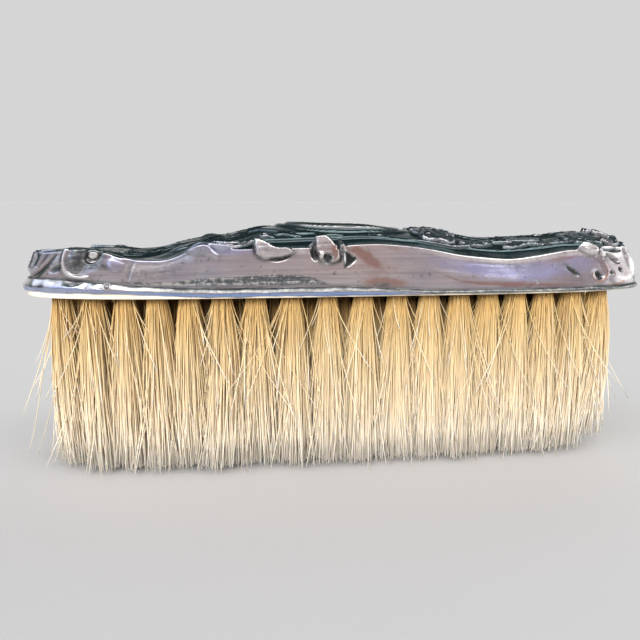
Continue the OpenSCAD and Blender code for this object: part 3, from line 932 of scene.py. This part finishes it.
def build_silver_back(material):
    """The stamped shell: a smooth surface, moved out and in by its relief, waves, knocks and dents."""
    count = 860
    angles, rim_l = even_plan_angles(count)
    levels, bead_rows, wall_rows = back_levels()
    points = round_over(level_points(levels, angles), bead_rows + wall_rows, 8, 30)
    x, y = points[:, :, 0], points[:, :, 1]
    u = np.broadcast_to(along_rim(rim_l, count), x.shape)
    wall_h = shoulder_height(x, y) - foot_height(x)
    s = np.where(levels[:, 4:5] > 0, levels[:, 4:5], (levels[:, 3:4] - 1) * wall_h)
    row = np.arange(len(levels))[:, None]
    on_bead = row < bead_rows
    crown_mask = ease((s - 3.4 + 2.8 * ease((np.abs(x) - 50) / 4)) / 0.8)
    by_side = np.where(on_bead, 0, side_relief(u, s)) * ease((6.5 - s) / 2.5)
    ridge = 0.34 * swelling(s - ridge_over(x), 0.1, 0.24) * ease((x + 34) / 8)
    on_top = highest(x, -np.abs(y), CROWN_SHAPES) * crown_mask
    above = np.where(s > 0, np.maximum(ridge, on_top), 0)
    relief = np.where(above > 0.02, np.maximum(by_side, above), by_side)
    stippled = highest(x, -np.abs(y), STIPPLED) * crown_mask
    stipple = noise_field(points, 2.4, 3) * (0.03 * crown_mask + 0.22 * stippled)
    waves = noise_field(points, 0.10, 1) * 0.12 + noise_field(points, 0.30, 2) * 0.06
    knocks = (noise_field(points, 0.42, 4) * 0.32 * swelling(x, -52, 7)
              + noise_field(points, 0.35, 5) * 0.12) * on_bead
    knocks = knocks - dents(points, RIM_DENTS)
    shift = relief + waves + stipple + knocks
    outside = points + grid_normals(points) * shift[:, :, None]
    # Painted shade with tarnished silver: hollows of the relief, the groove above the bead and the stippled
    # pits are darkened.
    hollow = np.clip((blurred(shift, 6) - shift) * 5, 0, 1)
    crease = swelling(row, bead_rows - 0.5, 1.6) * np.ones_like(x)
    tarnish_and_shade = np.clip(hollow + 0.85 * crease + np.clip(stipple * -5, 0, 0.6), 0, 1)
    tones_and_painted_light = silver_tones_and_painted_light(x, u, s, wall_h, on_bead, by_side, relief, tarnish_and_shade)
    inner = np.vstack([[[SILVER_T, FOOT_IN, 0, 0, 0], [SILVER_T, FOOT_IN, FOOT_RISE, 0, 0]],
                       crown_levels(np.linspace(SILVER_T, CROWN_REACH, 9))])
    rings = np.vstack([outside[::-1], level_points(inner, angles, SILVER_T)])
    plain = np.zeros(len(inner) * count)
    attributes = {key: np.concatenate([values[::-1].ravel(), plain]) for key, values in tones_and_painted_light.items()}
    return mesh_piece("silver_back_shell", rings.reshape(-1, 3), closed_faces(len(rings), count),
                      "silver_back", material, attributes=attributes)


# ---------- Pins and board ----------

def build_pins(material):
    """Domed pin heads, each set in a struck ring, with their shanks."""
    turns = 28
    profile = [(0.0, 0.34), (0.22, 0.32), (0.42, 0.22), (0.52, 0.08), (0.56, 0.0), (0.66, 0.12), (0.80, 0.14),
               (0.90, 0.04), (0.92, -0.12), (0.40, -0.14), (0.40, -4.6), (0.0, -5.0)]
    verts, faces, tarnish_and_shade = [], [], []
    centres = pin_places()
    for centre, outward, size in centres:
        turn = Vector(outward).to_track_quat("Z", "Y").to_matrix()
        for radius, height in profile:
            for k in range(turns):
                a = 2 * math.pi * k / turns
                away = size * radius
                local = turn @ Vector((away * math.cos(a), away * math.sin(a), size * height))
                verts.append(tuple(Vector(centre) + local))
                # Painted shade with tarnished silver, in the ring round the head.
                tarnish_and_shade.append(1.0 if 0.5 < radius < 0.7 and height < 0.1 else 0.1)
    for p in range(len(centres)):
        base = p * len(profile) * turns
        faces += [tuple(base + i for i in f) for f in ring_faces(len(profile), turns)]
    return mesh_piece("rim_pin_heads", verts, faces, "rim_pins", material,
                      attributes={"tarnish_and_shade": tarnish_and_shade})


def seat_on_side(x, height):
    """Inset of the silver's side at a height over the bristle face, and the tangent of its lean there."""
    levels, bead_rows, wall_rows = back_levels()
    side = levels[:bead_rows + wall_rows]
    wall_h = float(shoulder_height(x, 0) - foot_height(x))
    heights = RIM_H + rim_lift(x) + side[:, 2] * bead_r(x) + side[:, 3] * wall_h
    insets = side[:, 0] + side[:, 1] * bead_r(x)
    low, high = np.interp([height - 0.3, height + 0.3], heights, insets)
    return (low + high) / 2, (high - low) / 0.6


def pin_places():
    """Centre, outward direction and size of each pin's seat, in millimetres, on both long sides."""
    places = []
    for rank, height, size in zip(PIN_RANKS, PIN_HEIGHTS, PIN_SIZES):
        x = float(rank_x(rank))
        inset, lean = seat_on_side(x, height)
        slope = float(half_width(x + 0.1, inset) - half_width(x - 0.1, inset)) / 0.2
        for side in (-1, 1):
            outward = Vector((-slope, side, lean)).normalized()
            seat = Vector((x, side * float(half_width(x, inset)), FACE_Z + height)) - outward * 0.08
            places.append((tuple(seat), tuple(outward), size))
    return places


def build_cement(material):
    """The setting cement: it fills the shell from just inside the silver down to the board's block."""
    count = 240
    angles, _ = even_plan_angles(count)
    gap = SILVER_T + 0.15
    levels = np.vstack([wall_levels(np.linspace(0.35, 0.95, 4), gap),
                        crown_levels(np.linspace(gap, CROWN_REACH, 9))])
    rings = list(level_points(levels, angles, gap)[::-1])
    rings += [plan_ring(angles, inset, height) for inset, height in [(3.45, 3.05), (3.45, 5.25), (9.0, 5.25)]]
    return mesh_piece("cement_core", np.array(rings).reshape(-1, 3), closed_faces(len(rings), count),
                      "cement_filling", material)


def build_board(material):
    """The board: a rounded lip under the rim, thicker to the left, and the stepped block inside."""
    count = 480
    angles, _ = even_plan_angles(count)
    # Inset, height, and 1 where the ring follows the rim as it rises to the left
    profile = [(9.0, 0.0, 0), (LIP_INSET + 0.3, 0.0, 0), (LIP_INSET + 0.08, 0.06, 0), (LIP_INSET, 0.2, 0),
               (LIP_INSET, RIM_H - 0.02, 1), (LIP_INSET + 0.12, RIM_H + 0.08, 1),
                (BOARD_INSET, RIM_H + 0.1, 1),
               (BOARD_INSET, 2.9, 0), (3.4, 3.0, 0), (3.4, 5.15, 0), (9.0, 5.2, 0)]
    rings = []
    for inset, height, follows in profile:
        level = plan_ring(angles, inset, height)
        level[:, 2] += follows * rim_lift(level[:, 0])
        rings.append(level)
    faces = ring_faces(len(profile), count)
    faces.append(tuple(range(count))[::-1])
    top = (len(profile) - 1) * count
    faces.append(tuple(top + i for i in range(count)))
    return mesh_piece("ivory_board", np.array(rings).reshape(-1, 3), faces, "brush_board",
                      material, smooth=False)


# ---------- Bristles ----------

# Hairs and stray hairs in a tuft, the points along each, the lowest tip, and a hair's radii
HAIRS = 420
STRAYS = 12
KNOTS = 7
TIP_LOW = 0.25
ROOT_R = 0.098
TIP_R = 0.088


def tuft_places(rank):
    """Centres of the tufts in one crosswise rank, each with its row."""
    places = []
    for row in range(ROWS):
        offset = row % 2
        if rank >= RANKS - offset:
            continue
        x = float(rank_x(rank + offset / 2))
        y = (2 * row / (ROWS - 1) - 1) * float(half_width(x, FIELD_INSET))
        places.append((x, y, row))
    return places


def set_in_tuft(centre, offset, z):
    """Paths from the hairs' offsets from the tuft's centre and their heights."""
    return np.concatenate([offset + np.array(centre), z[:, :, None]], axis=2)


def hair_paths(centre, count):
    """Paths of one tuft's hairs from the board to their tips, as hairs by knots by xyz, with their tones."""
    t = np.linspace(0, 1, KNOTS)[None, :]
    radius = SOCKET_R * 0.92 * np.sqrt(rng.random(count))
    angle = rng.random(count) * 2 * math.pi
    root = np.stack([radius * np.cos(angle), radius * np.sin(angle)], axis=1)
    clumps = rng.normal(0, 0.62 * SOCKET_R, (11, 2))
    clump = rng.integers(0, len(clumps), count)
    clump_tone = rng.normal(0, 0.13, len(clumps))
    spread = 2.05 + 0.2 * rng.standard_normal(count)
    pull = 0.45 * rng.random(count)
    goal = root * (1 - pull[:, None]) + clumps[clump] * pull[:, None]
    goal = goal * spread[:, None] + rng.normal(0, 0.6, (count, 2))
    lean = rng.normal(0, 0.35, 2)
    end = max(0.0, abs(centre[0]) - 38) / 13
    lean[0] -= (2.4 if centre[0] > 0 else -1.0) * end ** 1.5
    open_out = 1 - (1 - t) ** 2.3
    wild = 1 + 2.2 * (rng.random(count) < 0.14)
    sway = rng.normal(0, 0.6, (count, 2)) * wild[:, None] * (1.35, 1.0)
    phase = rng.random(count)[:, None] * 2 * math.pi
    wave = 0.09 * np.sin(2 * math.pi * 1.3 * t + phase)
    offset = (root[:, None, :] * (1 - open_out[:, :, None]) + goal[:, None, :] * open_out[:, :, None]
              + (lean + sway)[:, None, :] * (t ** 2)[:, :, None] + wave[:, :, None])
    tip_z = (TIP_LOW + 0.4 * rng.random() + np.abs(rng.normal(0, 0.8, count))
             + 0.5 * rng.random(len(clumps))[clump])
    tip_z += (rng.random(count) < 0.06) * rng.uniform(2, 9, count)
    tip_z += 2.2 * float(ease((centre[0] - 42) / 10))
    top_z = FACE_Z + 0.4
    z = top_z + (tip_z[:, None] - top_z) * t
    tones = np.clip(0.55 + clump_tone[clump] + rng.normal(0, 0.17, count), 0, 1)
    return set_in_tuft(centre, offset, z), tones


def stray_paths(centre, count):
    """A few bent or broken hairs that cross their neighbours near the board."""
    t = np.linspace(0, 1, KNOTS)[None, :]
    angle = rng.random(count) * 2 * math.pi
    root = SOCKET_R * 0.9 * np.stack([np.cos(angle), np.sin(angle)], axis=1)
    length = rng.uniform(6, 26, count)
    out = rng.uniform(0.08, 0.42, count) * length
    way = angle + rng.normal(0, 0.6, count)
    curl = rng.normal(0, 1.2, (count, 2))
    drift = np.stack([1.4 * np.cos(way), np.sin(way)], axis=1) * out[:, None]
    offset = (root[:, None, :] + drift[:, None, :] * (t ** 1.3)[:, :, None]
              + curl[:, None, :] * (t ** 2)[:, :, None])
    z = FACE_Z + 0.3 - length[:, None] * t
    return set_in_tuft(centre, offset, z), rng.uniform(0.6, 1.0, count)


def hair_mesh(paths, tones, inner):
    """Closed three-sided tubes along the paths, with each vertex's place along its hair, tone and depth.

    The depth marks roots inside the field, which are painted darker than the outer ones as shade, and made
    rougher.
    """
    hairs, knots, _ = paths.shape
    t = np.linspace(0, 1, knots)
    radius = ROOT_R + (TIP_R - ROOT_R) * t ** 1.5
    turn = rng.random(hairs) * 2 * math.pi
    verts = np.zeros((hairs, knots, 3, 3))
    for corner in range(3):
        a = turn + corner * 2 * math.pi / 3
        verts[:, :, corner, :] = paths
        verts[:, :, corner, 0] += np.cos(a)[:, None] * radius[None, :]
        verts[:, :, corner, 1] += np.sin(a)[:, None] * radius[None, :]
    pattern = []
    for k in range(knots - 1):
        for corner in range(3):
            after = (corner + 1) % 3
            a, b = k * 3 + corner, k * 3 + after
            pattern.append((a, a + 3, b + 3, b))
    base = np.arange(hairs)[:, None, None] * knots * 3
    quads = (base + np.array(pattern)[None, :, :]).reshape(-1, 4).tolist()
    last = (knots - 1) * 3
    caps = (base + np.array([(0, 1, 2), (last, last + 2, last + 1)])[None, :, :]).reshape(-1, 3).tolist()
    along = np.broadcast_to(t[None, :, None], (hairs, knots, 3)).ravel()
    tone = np.repeat(tones, knots * 3)
    # Painted shade on roots inside the field, fading out along the hair.
    deep = np.repeat(inner, knots * 3) * (1 - ease(along / 0.42))
    return verts.reshape(-1, 3), quads + caps, {"along": along, "tone": tone, "deep": deep}


def build_rank(rank, material):
    """All hairs of one crosswise rank of tufts, as one piece."""
    paths, tones, inner = [], [], []
    for x, y, row in tuft_places(rank):
        is_inner = 0 < row < ROWS - 1 and 0 < rank < RANKS - 2
        for made in (hair_paths((x, y), HAIRS), stray_paths((x, y), STRAYS)):
            paths.append(made[0])
            tones.append(made[1])
            inner.append(np.full(len(made[1]), float(is_inner)))
    verts, faces, attributes = hair_mesh(*(np.concatenate(part) for part in (paths, tones, inner)))
    node = f"tuft_rank_{rank + 1:02d}"
    return mesh_piece(f"bristles_{rank + 1:02d}", verts, faces, node, material,
                      attributes=attributes)


# ---------- Build ----------

silver = silver_material()
build_silver_back(silver)
build_pins(silver)
build_board(board_material())
bristle = bristle_material()
for rank in range(RANKS):
    build_rank(rank, bristle)

wire = wire_material()
for row in range(ROWS):
    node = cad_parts[f"drawing_wire_{row + 1}"]
    node.data.materials.clear()
    node.data.materials.append(wire)
build_cement(cement_material())


# ---------- Floor, light and camera ----------

FLOOR_COLOUR = (0.46, 0.46, 0.457)
HORIZON = (0.652, 0.648, 0.648)
BACKDROP = (0.67, 0.667, 0.668)
CEILING = (0.06, 0.10, 0.105)
WINDOW = (3.0, 3.0, 3.07)
SIDE_LIGHT = (1.3, 1.3, 1.33)
LEFT_SKY = (0.95, 1.05, 1.3)


def build_floor():
    mesh = bpy.data.meshes.new("floor")
    reach = 4.0
    mesh.from_pydata([(-reach, -reach, 0), (reach, -reach, 0), (reach, reach, 0), (-reach, reach, 0)], [],
                     [(0, 1, 2, 3)])
    floor = add_object("floor", mesh)
    material, tree, shader = new_material("floor")
    put(tree, shader, {"Base Color": FLOOR_COLOUR, "Roughness": 1.0, "Specular IOR Level": 0.0})
    mesh.materials.append(material)


def build_world():
    """A studio laid out by angle over the brush, from the near horizon over the top to the far one.

    The window is a long soft light above the viewer, with a dim grey-green ceiling behind it. A pale screen
    stands beside the right end, and a pale blue one high on the left. The camera itself sees only a plain
    pale backdrop.
    """
    world = bpy.data.worlds.new("studio")
    bpy.context.scene.world = world
    world.use_nodes = True
    tree = world.node_tree
    split = add(tree, "SeparateXYZ", {0: add(tree, "TexCoord").outputs["Generated"]})
    towards = times(tree, split.outputs["Y"], -1.0)
    angle = maths(tree, "DIVIDE", maths(tree, "ARCTAN2", split.outputs["Z"], towards), math.pi)
    room = ramp(tree, angle, [(0.0, HORIZON), (0.10, (0.60, 0.60, 0.64)), (0.18, (0.56, 0.50, 0.52)),
                              (0.34, (0.56, 0.51, 0.54)), (0.50, CEILING), (0.72, CEILING),
                              (0.81, (0.22, 0.26, 0.27)), (0.87, (0.36, 0.37, 0.38)), (0.905, HORIZON),
                              (1.0, HORIZON)])
    window = ramp(tree, angle,
                  [(0.29, 0.0), (0.33, 0.10), (0.352, 0.5), (0.372, 1.0), (0.45, 1.0), (0.49, 0.0)])
    reach = ramp(tree, maths(tree, "ABSOLUTE", split.outputs["X"]), [(0.6, 1.0), (0.75, 0.0)])
    front = mix(tree, times(tree, window, reach), room, WINDOW)
    beside = ramp(tree, split.outputs["X"], [(0.76, 0.0), (0.88, 1.0)])
    high = ramp(tree, split.outputs["Z"], [(0.45, 0.0), (0.58, 1.0), (0.85, 1.0), (0.95, 0.0)])
    left = ramp(tree, times(tree, split.outputs["X"], -1.0), [(0.40, 0.0), (0.55, 1.0)])
    skylit = mix(tree, times(tree, high, left), front, LEFT_SKY)
    studio = mix(tree, beside, skylit, SIDE_LIGHT)
    seen = add(tree, "LightPath").outputs["Is Camera Ray"]
    put(tree, tree.nodes["Background"], {"Color": mix(tree, seen, studio, BACKDROP)})


def build_sun(name, energy, spread, towards):
    """A soft distant light for the bristles and the floor. The silver mirrors only the studio."""
    light = bpy.data.lights.new(name, "SUN")
    light.energy = energy
    light.angle = math.radians(spread)
    light.color = (1.0, 0.97, 0.94)
    lamp = add_object(name, light)
    lamp.rotation_euler = Vector(towards).to_track_quat("-Z", "Y").to_euler()
    lamp.visible_glossy = False


def build_camera():
    """A camera that looks slightly down at the near side, in metres and radians."""
    elevation, yaw, roll = 0.1963, 0.1209, 0.0032
    distance = 0.131
    aim = Vector((-0.0044, 0, 0.0258))
    level = math.cos(elevation)
    forward = Vector((math.sin(yaw) * level, math.cos(yaw) * level, -math.sin(elevation)))
    right = forward.cross(Vector((0, 0, 1))).normalized()
    up = right.cross(forward)
    rolled_right = right * math.cos(roll) + up * math.sin(roll)
    rolled_up = up * math.cos(roll) - right * math.sin(roll)
    camera = bpy.data.cameras.new("camera")
    camera.sensor_width = 36
    camera.lens = 36
    camera.clip_start = 0.005
    holder = add_object("camera", camera)
    turn = Matrix((rolled_right, rolled_up, -forward)).transposed().to_4x4()
    holder.matrix_world = Matrix.Translation(aim - forward * distance) @ turn
    bpy.context.scene.camera = holder


build_floor()
build_world()
build_sun("key", 4.2, 26, (0.28, 0.86, -0.42))
build_sun("fill", 0.9, 50, (-0.35, -0.80, -0.55))
build_camera()
bpy.context.scene.view_settings.view_transform = "Standard"
